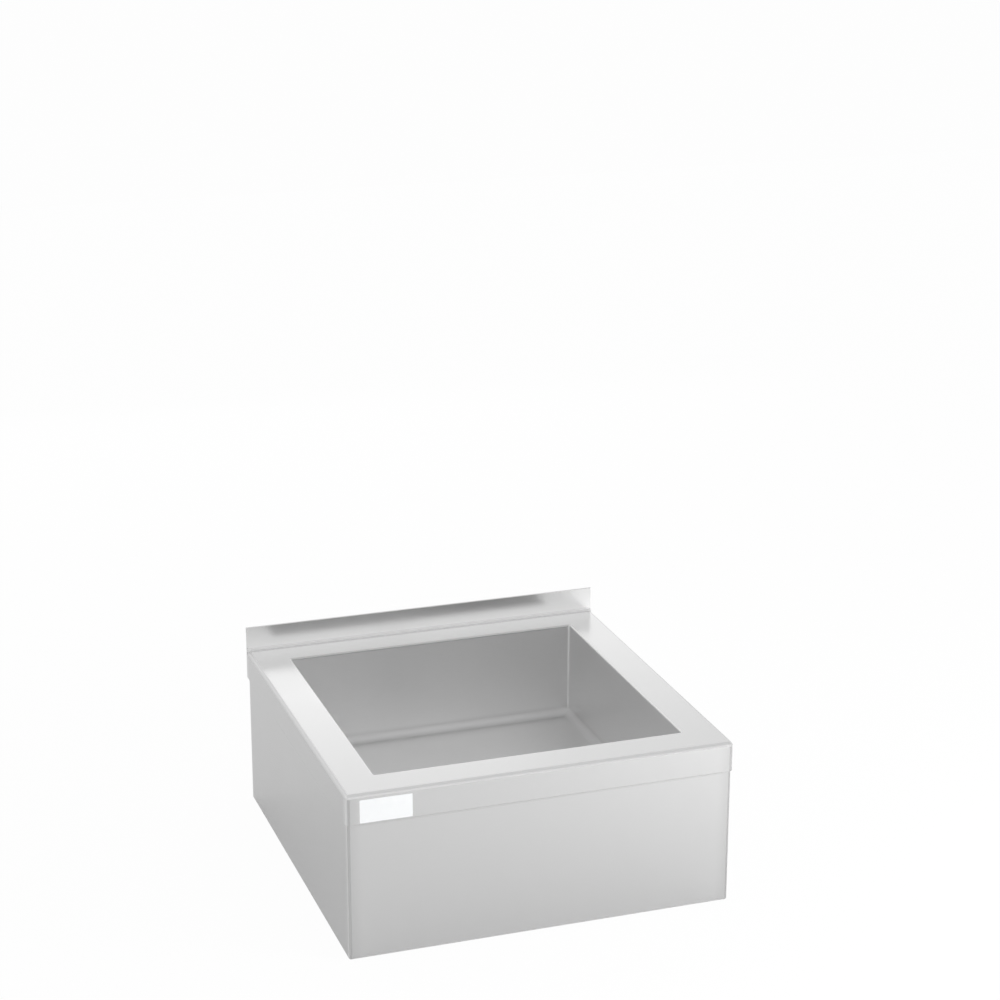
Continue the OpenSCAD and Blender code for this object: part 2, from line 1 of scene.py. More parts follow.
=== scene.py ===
# %% [markdown]
# # A mop service sink in satin stainless steel
#
# The real sink is folded from four thin sheets of stainless steel that are welded together: a deck
# with its splash, a coved bowl, a skirt and a rear panel. It stands on four screw feet, and a
# drain with a lift-out strainer hangs under the bowl. The frame that is loaded here holds every
# sheet, nut and foot at its real size. This notebook gives them what the eye adds: the finish of
# each metal, threads, weld beads, rounded edges, rubber, and a studio to see them in.

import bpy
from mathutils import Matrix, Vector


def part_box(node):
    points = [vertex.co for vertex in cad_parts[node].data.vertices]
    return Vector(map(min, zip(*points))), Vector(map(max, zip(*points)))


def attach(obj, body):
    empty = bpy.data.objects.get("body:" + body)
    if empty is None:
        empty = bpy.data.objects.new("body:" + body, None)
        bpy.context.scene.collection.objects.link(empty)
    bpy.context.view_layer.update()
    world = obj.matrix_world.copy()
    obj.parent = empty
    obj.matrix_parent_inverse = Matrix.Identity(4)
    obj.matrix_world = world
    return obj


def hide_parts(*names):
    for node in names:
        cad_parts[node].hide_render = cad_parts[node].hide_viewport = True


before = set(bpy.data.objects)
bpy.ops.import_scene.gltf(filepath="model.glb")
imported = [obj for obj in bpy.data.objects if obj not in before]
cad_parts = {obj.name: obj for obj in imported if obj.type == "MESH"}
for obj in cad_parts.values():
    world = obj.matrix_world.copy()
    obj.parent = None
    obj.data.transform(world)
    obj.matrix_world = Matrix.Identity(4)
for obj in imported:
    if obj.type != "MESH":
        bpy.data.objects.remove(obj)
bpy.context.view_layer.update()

# %% [markdown]
# ## The camera
#
# The photograph looks down at the sink from its left front with a long lens. A camera can be put
# there by eye, or worked out from the corners of the deck, which are a square of known size. The
# second way was used, because then every edge of the render falls on the edge in the photograph.
# The camera is given by where it stands and by three angles: how far it is turned to the right,
# how far it looks down, and how far it leans.

# %% Camera
import math
import bpy
import bmesh
from mathutils import Matrix, Vector

camera_place = Vector((-1.4358, -4.2948, 2.1901))
turned, looks_down, leans = (math.radians(a) for a in (19.0048, 17.824, 0.0804))
ahead = Vector((math.sin(turned) * math.cos(looks_down), math.cos(turned) * math.cos(looks_down),
                -math.sin(looks_down)))
level_right = Vector((math.cos(turned), -math.sin(turned), 0))
level_up = level_right.cross(ahead)
camera_right = math.cos(leans) * level_right + math.sin(leans) * level_up
camera_up = camera_right.cross(ahead)

lens = bpy.data.cameras.new("camera")
lens.lens, lens.sensor_width = 88.659, 36
camera = bpy.data.objects.new("camera", lens)
bpy.context.scene.collection.objects.link(camera)
facing = Matrix((camera_right, camera_up, -ahead)).transposed().to_4x4()
camera.matrix_world = Matrix.Translation(camera_place) @ facing
bpy.context.scene.camera = camera
# Standard shows a colour as it is written. The filmic view of a new file would grey the whites.
bpy.context.scene.view_settings.view_transform = "Standard"
print("camera at", tuple(round(x, 3) for x in camera_place), "lens", lens.lens, "mm")

# %% [markdown]
# ## Colours and nodes
#
# A colour picked on a screen is an sRGB value, and the shaders count in linear light, so one
# function turns the one into the other. Materials are trees of nodes. Writing each node out takes
# many lines, and a function for each kind of node hides what it does, so a single function adds
# any node, sets its options and feeds its inputs with values or with other nodes' outputs.

# %% Colour and node helpers
def linear(hex_colour):
    """The linear RGBA of an sRGB colour such as "#D5D6D7"."""
    shares = [int(hex_colour[i:i + 2], 16) / 255 for i in (1, 3, 5)]
    return (*[s / 12.92 if s <= 0.04045 else ((s + 0.055) / 1.055) ** 2.4 for s in shares], 1)


def add(tree, kind, inputs=(), **settings):
    """Adds a node. settings are its own options, inputs are values or the sockets that feed it."""
    node = tree.nodes.new("ShaderNode" + kind)
    for option, value in settings.items():
        setattr(node, option, value)
    for key, value in dict(inputs).items():
        if isinstance(value, bpy.types.NodeSocket):
            tree.links.new(value, node.inputs[key])
        else:
            node.inputs[key].default_value = value
    return node


def new_material(name):
    """An empty material and its node tree."""
    material = bpy.data.materials.new(name)
    material.use_nodes = True
    material.node_tree.nodes.clear()
    return material, material.node_tree


print("satin steel is", [round(c, 3) for c in linear("#D5D6D7")[:3]], "in linear light")

# %% Numbers, colours and noise
def join(tree, one, other, operation="MULTIPLY"):
    """Two numbers joined: MULTIPLY is where both masks hold, MAXIMUM is where either does."""
    return add(tree, "Math", {0: one, 1: other}, operation=operation).outputs[0]


def scaled(tree, value, factor, plus):
    """A number times a factor, plus another number."""
    return add(tree, "Math", {0: value, 1: factor, 2: plus}, operation="MULTIPLY_ADD").outputs[0]


def ramp(tree, value, start, end, first=0.0, last=1.0):
    """Goes from first to last while a value goes from start to end, and stays there."""
    return add(tree, "MapRange", {"Value": value, 1: start, 2: end, 3: first, 4: last}).outputs[0]


def blend(tree, share, first, second):
    """A colour between two. In a colour Mix, 6 and 7 are the colours and output 2 the result."""
    return add(tree, "Mix", {0: share, 6: linear(first), 7: linear(second)},
               data_type="RGBA").outputs[2]


def noise_of(tree, size_mm, detail=2.0, roughness=0.5):
    """Even noise with lumps of a given size."""
    where = add(tree, "TexCoord").outputs["Object"]
    return add(tree, "TexNoise", {"Vector": where, "Scale": 1000 / size_mm, "Detail": detail,
                                  "Roughness": roughness}).outputs["Fac"]


def spread(tree, value, low, high):
    """The middle of a noise, stretched to a range of values."""
    return ramp(tree, value, 0.3, 0.7, low, high)


print("noise of 125 mm has a scale of", 1000 / 125, "per metre")

# %% [markdown]
# ## The studio
#
# Bare steel shows its surroundings more than its own colour, so the studio is part of the finish.
# The photograph has a pure white ground and very soft light. The deck is seen at a low angle and
# mirrors what stands behind the sink, so a broad softbox stands there. The front and the sides
# mirror the floor. The floor could be lit until it burns out, but that light would spoil the
# sink. So most of the white that the camera sees is the floor's own, and in mirrors and as light
# the floor is nearly all ordinary paint. Seen from below it lets light through.

# %% Floor
floor_half = 7.0
floor_mesh = bmesh.new()
bmesh.ops.create_grid(floor_mesh, x_segments=4, y_segments=4, size=floor_half)
floor_data = bpy.data.meshes.new("floor")
floor_mesh.to_mesh(floor_data)
floor_mesh.free()
floor = bpy.data.objects.new("floor", floor_data)
bpy.context.scene.collection.objects.link(floor)

floor_paint, tree = new_material("white_studio_floor")
rays = add(tree, "LightPath")
# Share of the white that is the floor's own, for the camera and in mirrors and as light
own_to_camera, own_elsewhere = 0.96, 0.10
own_share = scaled(tree, rays.outputs["Is Camera Ray"], own_to_camera - own_elsewhere,
                   own_elsewhere)
paint = add(tree, "BsdfDiffuse", {"Color": linear("#F4F4F4")})
own_white = add(tree, "Emission", {"Color": (1, 1, 1, 1), "Strength": 1.0})
painted = add(tree, "MixShader", {0: own_share, 1: paint.outputs[0],
                                  2: own_white.outputs[0]})
side = add(tree, "NewGeometry")
clear = add(tree, "BsdfTransparent")
one_way = add(tree, "MixShader", {0: side.outputs["Backfacing"], 1: painted.outputs[0],
                                  2: clear.outputs[0]})
add(tree, "OutputMaterial", {"Surface": one_way.outputs[0]})
floor_data.materials.append(floor_paint)
print("floor", 2 * floor_half, "m square")

# %% World and softboxes
world = bpy.data.worlds.new("studio")
world.use_nodes = True
world.node_tree.nodes.clear()
bpy.context.scene.world = world
tree = world.node_tree
rays = add(tree, "LightPath")
looked_at = join(tree, rays.outputs["Is Camera Ray"], rays.outputs["Is Glossy Ray"], "MAXIMUM")
looked_through = join(tree, looked_at, rays.outputs["Is Transmission Ray"], "MAXIMUM")
# White where it is seen or mirrored, but the ceiling is greyer, so that no edge gets a white rim
horizon, ceiling, as_light = 0.985, 0.68, 0.75
up = add(tree, "SeparateXYZ", {0: add(tree, "TexCoord").outputs["Generated"]})
seen = ramp(tree, up.outputs["Z"], 0.55, 0.85, horizon, ceiling)
# As light on the floor and on whatever isn't metal it counts for three quarters. In a number Mix,
# input 0 is the factor, 2 and 3 are the two numbers, and output 0 is the number
level = add(tree, "Mix", {0: looked_through, 2: as_light, 3: seen})
sky = add(tree, "Background", {"Color": (1, 1, 1, 1), "Strength": level.outputs[0]})
add(tree, "OutputWorld", {"Surface": sky.outputs[0]})


def softbox(name, place, target, width, height, brightness, mirrored=True):
    """A soft lamp that the camera doesn't see. Its brightness is in units of the white ground."""
    lamp = bpy.data.lights.new(name, "AREA")
    lamp.shape, lamp.size, lamp.size_y = "RECTANGLE", width, height
    lamp.energy = brightness * math.pi * width * height
    box = bpy.data.objects.new(name, lamp)
    box.location = place
    box.rotation_euler = (Vector(target) - Vector(place)).to_track_quat("-Z", "Y").to_euler()
    box.visible_camera = False
    box.visible_glossy = mirrored
    bpy.context.scene.collection.objects.link(box)
    print(name, round(lamp.energy, 1), "W")


# Two boxes overlap behind the sink, so the deck's left side is a little brighter than its right
softbox("softbox_behind", (0.3, 3.3, 0.95), (0, 0, 0.35), 3.4, 1.5, 0.36)
softbox("softbox_behind_left", (-0.1, 3.3, 1.15), (0, 0, 0.35), 2.8, 1.7, 0.20)
# This one stays out of mirrors and only lights the floor that the front and the right side mirror
softbox("softbox_right", (1.8, -1.6, 1.1), (0.5, -0.7, 0), 1.0, 1.0, 9.6, mirrored=False)
# The front box is dim in mirrors, or the deck would burn out from behind. Its twin lights the floor
softbox("softbox_front", (0.2, -5.2, 2.2), (0, 0, 0.3), 6.4, 3.0, 0.26)
softbox("softbox_front_low", (0.2, -5.2, 2.2), (0, 0, 0.3), 6.4, 3.0, 0.20, mirrored=False)

# %% [markdown]
# ## Satin stainless steel
#
# The sheets are AISI 304 with a No. 4 satin finish: a belt has drawn short fine scratches along
# the sheet, so the steel mirrors its surroundings softly and without a clear image. The scratches
# could be a picture wrapped round the parts, or noise that is stretched along the grain. Noise is
# used, because it needs no unwrapping and stays sharp close up. The grain runs level round the
# upright faces and left to right on the flat ones, as it does on folded sheet, so the noise is
# stretched by where a point lies and which way it faces. Real scratches are 0.1 mm wide. They are
# drawn 0.7 mm wide here, because finer ones would only show as speckle.
#
# The photograph also shows a few paler and darker places on the sheet. They are painted light
# and shade in the steel's colour. Where they lie and how strong they are was matched to its greys.
# The causes given in the comments are only supposed.

# %% Grain
grain_long_mm, grain_wide_mm = 34, 0.7


def streaks(tree, length_mm, width_mm):
    """Noise stretched along the grain: level on upright faces, left to right on flat ones."""
    where = add(tree, "TexCoord")
    slow, quick = 1000 / length_mm, 1000 / width_mm
    upright = add(tree, "VectorMath", {0: where.outputs["Object"], 1: (slow, slow, quick)},
                  operation="MULTIPLY")
    flat = add(tree, "VectorMath", {0: where.outputs["Object"], 1: (slow, quick, slow)},
               operation="MULTIPLY")
    facing = add(tree, "SeparateXYZ", {0: where.outputs["Normal"]})
    rise = add(tree, "Math", {0: facing.outputs["Z"]}, operation="ABSOLUTE")
    is_flat = add(tree, "Math", {0: rise.outputs[0], 1: 0.7}, operation="GREATER_THAN")
    # In a vector Mix, input 0 is the factor, 4 and 5 are the vectors, and output 1 is the vector
    along = add(tree, "Mix", {0: is_flat.outputs[0], 4: upright.outputs[0], 5: flat.outputs[0]},
                data_type="VECTOR")
    return add(tree, "TexNoise", {"Vector": along.outputs[1], "Scale": 1.0, "Detail": 3.0,
                                  "Roughness": 0.6}).outputs["Fac"]


print("grain: streaks of", grain_long_mm, "by", grain_wide_mm, "mm")

# %% Masks
def near(tree, value, place, reach):
    """1 where a value is within reach of a place, otherwise 0."""
    return add(tree, "Math", {0: value, 1: place, 2: reach}, operation="COMPARE").outputs[0]


def strip(tree, first, second):
    """1 where both of two values are within reach of their places."""
    return join(tree, near(tree, *first), near(tree, *second))


def without_sign(tree, vector, axes):
    """The parts of a vector along some axes, made positive."""
    parts = add(tree, "SeparateXYZ", {0: vector})
    return [add(tree, "Math", {0: parts.outputs[axis]}, operation="ABSOLUTE").outputs[0]
            for axis in axes]


def bend_share(tree):
    """1 on bends and coves, 0 on flat sheet: there the normal lies along one of the three axes."""
    x, y, z = without_sign(tree, add(tree, "TexCoord").outputs["Normal"], "XYZ")
    most = join(tree, join(tree, x, y, "MAXIMUM"), z, "MAXIMUM")
    return ramp(tree, most, 0.955, 0.995, 1.0, 0.0)


# The faces and edges that the marks are measured from, in metres, to a tenth of a millimetre
deck_low, deck_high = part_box("top_deck")
bowl_high, skirt_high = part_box("bowl")[1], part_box("wrap_skirt")[1]
band_face, skirt_face, hem_edge, deck_top, splash_top, rim_edge = (
    round(place, 4) for place in (deck_high.x, skirt_high.x, deck_low.z, bowl_high.z, deck_high.z,
                                  bowl_high.y))
outer_faces = (band_face + skirt_face) / 2
bend_radius, bowl_depth = 0.008, 0.203
print("deck", deck_top, "m high, band from", hem_edge, "m, splash to", splash_top, "m")

# %% Marks on the sheets
# Painted light and shade: how much paler the painted highlights are, as multiples of the first
# number. A place fully in painted shade keeps the first number of the next line of its colour,
# and the painted shade on the bowl's floor and back rim has shares of its own
painted_light_by, crest_highlight_pale, splash_foot_light_pale, splash_light_pale_low, splash_light_pale_high = 0.10, 1.4, 3.9, 3.3, 0.7
painted_shade_keeps, corner_shade_fade_dark, hem_shadow_dark = 0.74, 0.33, 0.28
bowl_floor_shade_keeps, rear_rim_shade_loses = 0.80, 0.28


def sheet_painted_light_shade(tree, where):
    """Painted light and shade: how much colour deck, skirt and splash keep, and where it is dull.
    """
    place = add(tree, "SeparateXYZ", {0: where})
    y, z = place.outputs["Y"], place.outputs["Z"]
    across, deep = without_sign(tree, where, "XY")
    below_bend = add(tree, "Math", {0: z, 1: deck_top - bend_radius},
                     operation="LESS_THAN").outputs[0]
    # Painted shade: a darker line of 4 mm stands beside each upright corner and fades over 20 mm,
    # standing in for a darker reflection there
    line = strip(tree, (across, skirt_face - 0.0031, 0.0023), (deep, skirt_face + 0.001, 0.004))
    fade = join(tree, ramp(tree, across, skirt_face - 0.026, skirt_face - 0.0045, 0.0, corner_shade_fade_dark),
                near(tree, deep, outer_faces, 0.0020))
    corner = join(tree, join(tree, line, fade, "MAXIMUM"), below_bend)
    # A faint painted shadow line under the band's hem
    hem_shadow = strip(tree, (z, hem_edge - 0.0007, 0.0032), (y, -outer_faces, 0.0022))
    painted_shade_share = join(tree, corner, join(tree, hem_shadow, hem_shadow_dark), "MAXIMUM")
    # Painted highlights round the corner, on the crest of the front bend and at the splash's foot
    ground = strip(tree, (across, outer_faces + 0.0002, 0.0022),
                   (deep, band_face - 0.0075, 0.0075))
    crest_highlight = strip(tree, (y, 0.0055 - band_face, 0.0027), (z, deck_top - 0.0015, 0.0035))
    foot = strip(tree, (y, band_face - 0.0074, 0.0030), (z, deck_top + 0.0005, 0.0012))
    # Painted light: the splash is paler than the deck, most of all low down
    splash = join(tree, ramp(tree, z, deck_top + 0.0025, deck_top + 0.006),
                  ramp(tree, z, deck_top + 0.006, splash_top, splash_light_pale_low, splash_light_pale_high))
    painted_highlight_lines = join(tree, join(tree, crest_highlight, crest_highlight_pale), join(tree, foot, splash_foot_light_pale), "MAXIMUM")
    painted_highlights = join(tree, painted_highlight_lines, splash, "MAXIMUM")
    painted_light_share = join(tree, join(tree, ground, below_bend), painted_highlights, "MAXIMUM")
    return scaled(tree, painted_light_share, painted_light_by, ramp(tree, painted_shade_share, 0, 1, 1.0, painted_shade_keeps)), foot


def bowl_painted_shade(tree, where):
    """The same painted shade for the bowl, which is only dull on its bends."""
    place = add(tree, "SeparateXYZ", {0: where})
    y, z = place.outputs["Y"], place.outputs["Z"]
    # Painted shade: its floor is darker than its walls, fading up the cove
    floor_z = deck_top - bowl_depth
    bowl_floor_shade_kept = ramp(tree, z, floor_z + 0.002, floor_z + 0.023, bowl_floor_shade_keeps, 1.0)
    # Painted shade on the bend at the back rim, for a darker reflection there
    rear_rim_shade = strip(tree, (y, rim_edge - 0.0015, 0.0020), (z, deck_top - 0.0015, 0.0030))
    return scaled(tree, rear_rim_shade, -rear_rim_shade_loses, bowl_floor_shade_kept), 0.0


print("bowl floor at", round(deck_top - bowl_depth, 3), "m")

# %% Steel sheet
bend_paler, bend_duller = 0.09, 0.34


def steel_sheet(name, dark, light, roughness, scratch_um, painted_light_shade):
    """Ground steel sheet: a colour and a roughness that vary with the grain, and fine scratches."""
    material, tree = new_material(name)
    varies = 0.03
    grain = streaks(tree, grain_long_mm, grain_wide_mm)
    # Handling leaves broad, faint patches about 125 mm across
    patches = noise_of(tree, 125)
    rough = join(tree, spread(tree, grain, roughness - varies, roughness + varies),
                 spread(tree, patches, -varies / 2, varies / 2), "ADD")
    # A bend is duller and paler than the flat: the outside stretches there, and the grain opens
    bend = bend_share(tree)
    # The marks are painted light and shade, which scale the colour
    painted_kept, dull = painted_light_shade(tree, add(tree, "TexCoord").outputs["Object"])
    colour = add(tree, "VectorMath", {0: blend(tree, grain, dark, light),
                                      3: scaled(tree, bend, bend_paler, painted_kept)}, operation="SCALE")
    rough = scaled(tree, join(tree, bend, dull, "MAXIMUM"), bend_duller, rough)
    # A folded sheet is never quite flat: it swells by a tenth or two of a millimetre over 250 mm
    waves = add(tree, "Bump", {"Height": noise_of(tree, 250, 0.0), "Strength": 1.0,
                               "Distance": 0.0003})
    scratches = add(tree, "Bump", {"Height": grain, "Strength": 1.0,
                                   "Distance": scratch_um / 1e6, "Normal": waves.outputs[0]})
    steel = add(tree, "BsdfPrincipled", {"Base Color": colour.outputs[0], "Metallic": 1.0,
                                         "Roughness": rough, "Normal": scratches.outputs[0]})
    add(tree, "OutputMaterial", {"Surface": steel.outputs[0]})
    return material


satin_stainless = steel_sheet("satin_stainless_no4", "#CECECE", "#D6D6D6", 0.23, 12, sheet_painted_light_shade)
# The bowl mirrors more softly and is paler than the deck, as if it were ground by hand
bowl_stainless = steel_sheet("satin_stainless_bowl", "#E3E3E3", "#EBEBEB", 0.36, 9, bowl_painted_shade)
print("satin stainless has", len(satin_stainless.node_tree.nodes), "nodes")

# %% [markdown]
# ## The other finishes
#
# Small parts are never the colour of the big ones. Drain parts are drawn and polished, so they
# mirror clearly and show faint rings from the lathe. Channels, brackets, nuts and studs are zinc
# plated: duller, with a slightly yellow or blue bloom. The locknut is cast brass, grainy from its
# sand mould. Rubber, nylon, fibre and bitumen mat mirror almost nothing, so their small texture
# has to carry them. Each of these could be bought as a picture, but noise at a known size in
# millimetres gives the same and fits any shape.

# %% Lathe rings and polished stainless
polished_stainless, tree = new_material("polished_stainless")
where = add(tree, "SeparateXYZ", {0: add(tree, "TexCoord").outputs["Object"]})
from_axis = add(tree, "CombineXYZ", {"X": where.outputs["X"], "Y": where.outputs["Y"]})
reach = add(tree, "VectorMath", {0: from_axis.outputs[0]}, operation="LENGTH")
# The tool leaves fine rings round the drain's axis, which is the frame's Z axis
ring_mm = 0.5
ring_place = add(tree, "CombineXYZ", {"X": reach.outputs["Value"], "Y": where.outputs["Z"]})
rings = add(tree, "TexNoise", {"Vector": ring_place.outputs[0], "Scale": 1000 / ring_mm,
                              "Detail": 2.0})
ridges = add(tree, "Bump", {"Height": rings.outputs["Fac"], "Strength": 1.0, "Distance": 6e-6})
smears = noise_of(tree, 9, 3.0)
steel = add(tree, "BsdfPrincipled", {"Base Color": blend(tree, smears, "#D2D3D4", "#DCDDDE"),
                                     "Metallic": 1.0, "Roughness": spread(tree, smears, 0.10, 0.19),
                                     "Normal": ridges.outputs[0]})
add(tree, "OutputMaterial", {"Surface": steel.outputs[0]})
print("polished stainless: rings of", ring_mm, "mm")

# %% Plain finishes: zinc, brass, rubber, nylon, fibre, mat, silicone, weld
def grainy(name, dark, light, rough_low, rough_high, grain_mm, bump_um, metal=0.0, patch_mm=15):
    """A finish whose colour drifts over patches and whose surface is grainy."""
    material, tree = new_material(name)
    patch = noise_of(tree, patch_mm, 3.0)
    grain = noise_of(tree, grain_mm, 3.0, 0.6)
    bumps = add(tree, "Bump", {"Height": grain, "Strength": 1.0, "Distance": bump_um / 1e6})
    surface = add(tree, "BsdfPrincipled", {"Base Color": blend(tree, patch, dark, light),
                                           "Metallic": metal,
                                           "Roughness": spread(tree, grain, rough_low, rough_high),
                                           "Normal": bumps.outputs[0]})
    add(tree, "OutputMaterial", {"Surface": surface.outputs[0]})
    return material


# Zinc plate over cold-formed steel: a soft grey mirror with a straw and blue bloom
zinc_plate = grainy("zinc_plated_steel", "#A9AEB4", "#BDBCB4", 0.30, 0.44, 2.5, 8, 1.0, 22)
# Sand-cast brass, tumbled but not polished: dull gold with sand grains of 0.8 mm
cast_brass = grainy("cast_brass", "#9C7B3E", "#BE9C57", 0.34, 0.52, 0.8, 40, 1.0, 12)
# EPDM rubber, moulded: soft black with a faint grey bloom
epdm_rubber = grainy("epdm_rubber", "#161617", "#232325", 0.50, 0.68, 0.7, 12)
# Glass-filled nylon, moulded: near black with the fine leather of a spark-eroded mould
nylon = grainy("glass_filled_nylon", "#18191A", "#222325", 0.38, 0.50, 0.5, 10)
# Vulcanised fibre, punched from board: red-brown, matt, with lumps of pulp
fibre_board = grainy("vulcanised_fibre", "#6E3F2A", "#8E5A3D", 0.60, 0.78, 0.9, 14, 0.0, 5)
# Bitumen damping mat: dark grey, with mineral grit of 1.2 mm rolled into it
damping_mat = grainy("bitumen_damping_mat", "#2B2D30", "#43464A", 0.62, 0.82, 1.2, 60, 0.0, 14)
# Neutral silicone, smoothed with a wet finger: pale grey and a little glossy
silicone = grainy("neutral_silicone", "#B9BDBF", "#CDD0D1", 0.30, 0.40, 3.0, 10)
# Argon-welded seam, brushed after welding: straw and blue heat tints on bright steel
weld_metal = grainy("brushed_weld_metal", "#A89E8E", "#B9BEC6", 0.28, 0.42, 1.5, 20, 1.0, 4)
print("finishes:", ", ".join(m.name for m in bpy.data.materials))

# %% [markdown]
# ## Dress the folded parts
#
# The deck, bowl, skirt, rear panel, channels, brackets, tailpiece, crossbar, basket and post have
# their true shape in the frame already, so they stay and only get their finish.

# %% Assign finishes to the nodes that stay
feet = ["front_left", "front_right", "rear_left", "rear_right"]


def dress(material, *nodes):
    """Gives CAD nodes one material."""
    for node in nodes:
        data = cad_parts[node].data
        data.materials.clear()
        data.materials.append(material)


dress(satin_stainless, "top_deck", "wrap_skirt", "rear_panel")
dress(bowl_stainless, "bowl")
dress(zinc_plate, "channel_left", "channel_right", *["foot_bracket_" + foot for foot in feet])
dress(polished_stainless, "tailpiece", "outlet_crossbar", "strainer_basket", "stopper_post")
low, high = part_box("top_deck")
print("deck and splash:", [round(1000 * x, 1) for x in high - low], "mm")

# %% [markdown]
# ## Turned parts
#
# Flanges, rings, nuts and knobs are turned, cast or moulded round an axis. They could start from
# cylinders that are cut and bevelled, but a single outline that is carried round the axis holds
# every step and every rounded edge at once, and threads can be sewn into it. All sizes below are
# in millimetres, as on a drawing, and become metres only in the last step.

# %% Outline helpers
def soften(outline, radius, closed=True):
    """The outline with each of its corners rounded to about the given radius."""
    parts = 3
    result = []
    count = len(outline)
    for i, corner in enumerate(outline):
        here = Vector(corner)
        if not closed and i in (0, count - 1):
            result.append(tuple(here))
            continue
        to_last = Vector(outline[i - 1]) - here
        to_next = Vector(outline[(i + 1) % count]) - here
        cut = min(radius, to_last.length / 2.2, to_next.length / 2.2)
        first, last = here + to_last.normalized() * cut, here + to_next.normalized() * cut
        for k in range(parts + 1):
            t = k / parts
            result.append(tuple((1 - t) ** 2 * first + 2 * t * (1 - t) * here + t * t * last))
    return result


def sew(bm, rows, closed_round=True):
    """Faces between neighbouring rows of points. Points that meet are joined to one."""
    made = [[bm.verts.new(point) for point in row] for row in rows]
    pairs = list(zip(made, made[1:])) + ([(made[-1], made[0])] if closed_round else [])
    for one, two in pairs:
        for k in range(len(one) - 1):
            bm.faces.new((one[k], two[k], two[k + 1], one[k + 1]))
    bmesh.ops.remove_doubles(bm, verts=bm.verts, dist=1e-4)
    bmesh.ops.dissolve_degenerate(bm, edges=bm.edges, dist=1e-5)


def turn(bm, outline, steps=96, centre=(0, 0), angles=None, closed=True):
    """Carries an outline of (radius, height) round an axis. It may be a function of the angle."""
    rows = []
    for angle in angles or [2 * math.pi * i / steps for i in range(steps)]:
        points = outline(angle) if callable(outline) else outline
        points = list(points) + ([points[0]] if closed else [])
        rows.append([(centre[0] + r * math.cos(angle), centre[1] + r * math.sin(angle), z)
                     for r, z in points])
    sew(bm, rows)


def thread(bm, radius, depth, pitch, low, high, steps=48, centre=(0, 0)):
    """A screw thread between two heights. It fades out at both ends, where it meets the shank."""
    turns = math.ceil((high - low) / pitch) + 2
    rows = []
    for i in range(steps + 1):
        angle = 2 * math.pi * i / steps
        row = []
        for k in range(4 * turns):
            z = low - pitch + pitch * (k / 4 + i / steps)
            z = min(high, max(low, z))
            fade = min(1, (z - low) / pitch, (high - z) / pitch)
            # Crest, flank, root, flank
            r = radius - depth * fade * (0, 0.5, 1, 0.5)[k % 4]
            row.append((centre[0] + r * math.cos(angle), centre[1] + r * math.sin(angle), z))
        rows.append(row)
    sew(bm, rows, closed_round=False)


def finish_piece(name, bm, material, body, nodes=(), edge_mm=0.0, sharp_deg=38):
    """Turns a mesh in millimetres into a piece of the sink and hands it to the frame."""
    bmesh.ops.remove_doubles(bm, verts=bm.verts, dist=1e-4)
    # Open ends, such as the foot of a thread, are closed, so that each piece is a solid of its own
    bmesh.ops.holes_fill(bm, edges=[edge for edge in bm.edges if edge.is_boundary], sides=0)
    bmesh.ops.recalc_face_normals(bm, faces=bm.faces)
    bmesh.ops.scale(bm, vec=(0.001, 0.001, 0.001), verts=bm.verts)
    data = bpy.data.meshes.new(name)
    bm.to_mesh(data)
    bm.free()
    data.materials.append(material)
    data.shade_smooth()
    data.set_sharp_from_angle(angle=math.radians(sharp_deg))
    piece = bpy.data.objects.new(name, data)
    bpy.context.scene.collection.objects.link(piece)
    if edge_mm:
        edge = piece.modifiers.new("broken_edges", "BEVEL")
        edge.width, edge.segments, edge.limit_method = edge_mm / 1000, 2, "ANGLE"
        edge.angle_limit = math.radians(40)
        edge.harden_normals = True
    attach(piece, body)
    if nodes:
        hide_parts(*nodes)
    return piece


square = [(0, 0), (1, 0), (1, 1), (0, 1)]
print("a rounded corner of a square has", len(soften(square, 0.2)) // 4, "points")

# %% [markdown]
# ## The drain
#
# The drain body is drawn from stainless sheet: a polished flange that lies in the bowl's recess, a
# threaded wall for the locknut, and a threaded outlet. Under the bowl follow the rubber gasket, a
# fibre slip ring that lets the nut turn without dragging the rubber, the brass locknut with its six
# lugs, and the coupling nut that holds the tailpiece. The two threads are real helices here,
# because their first turns show under each nut.

# %% Drain body
seat_z, cup_z, cup_under_z, spigot_z = 119.5, 80.2, 77.7, 59.7
flange_r, body_r, throat_r, ledge_r, cup_r, spigot_r, outlet_r = 57, 44, 41.5, 38.5, 27, 24, 20
flange_t, ledge_drop, thread_h, thread_pitch = 2.2, 6, 22, 2.3
thread_low, thread_high = seat_z - thread_h, seat_z - 1
steps = 96
drain = bmesh.new()
# From the top of the thread up over the flange, down the throat, the ledge, the cup and the bore
inside = [(body_r, thread_high), (body_r, seat_z), (flange_r, seat_z), (flange_r, seat_z + 1.2),
          (flange_r - 1, seat_z + flange_t), (43, seat_z + flange_t), (throat_r, seat_z + 1.0),
          (throat_r, seat_z - ledge_drop), (ledge_r, seat_z - ledge_drop), (ledge_r, thread_low),
          (cup_r, cup_z), (outlet_r, cup_z), (outlet_r, spigot_z), (spigot_r - 0.4, spigot_z),
          (spigot_r, spigot_z + 0.5)]
turn(drain, soften(inside, 0.7, closed=False), steps, closed=False)
outside = [(spigot_r, cup_under_z - 1.2), (spigot_r, cup_under_z), (cup_r, cup_under_z),
           (cup_r + 2.5, cup_z), (body_r, thread_low)]
turn(drain, soften(outside, 1.0, closed=False), steps, closed=False)
thread(drain, spigot_r, 1.1, thread_pitch, spigot_z + 0.5, cup_under_z - 1.2, steps)
thread(drain, body_r, 1.2, thread_pitch, thread_low, thread_high, steps)
finish_piece("threaded_drain_body", drain, polished_stainless, "sink",
             ["drain_body"])
print("drain flange:", 2 * flange_r, "mm across")

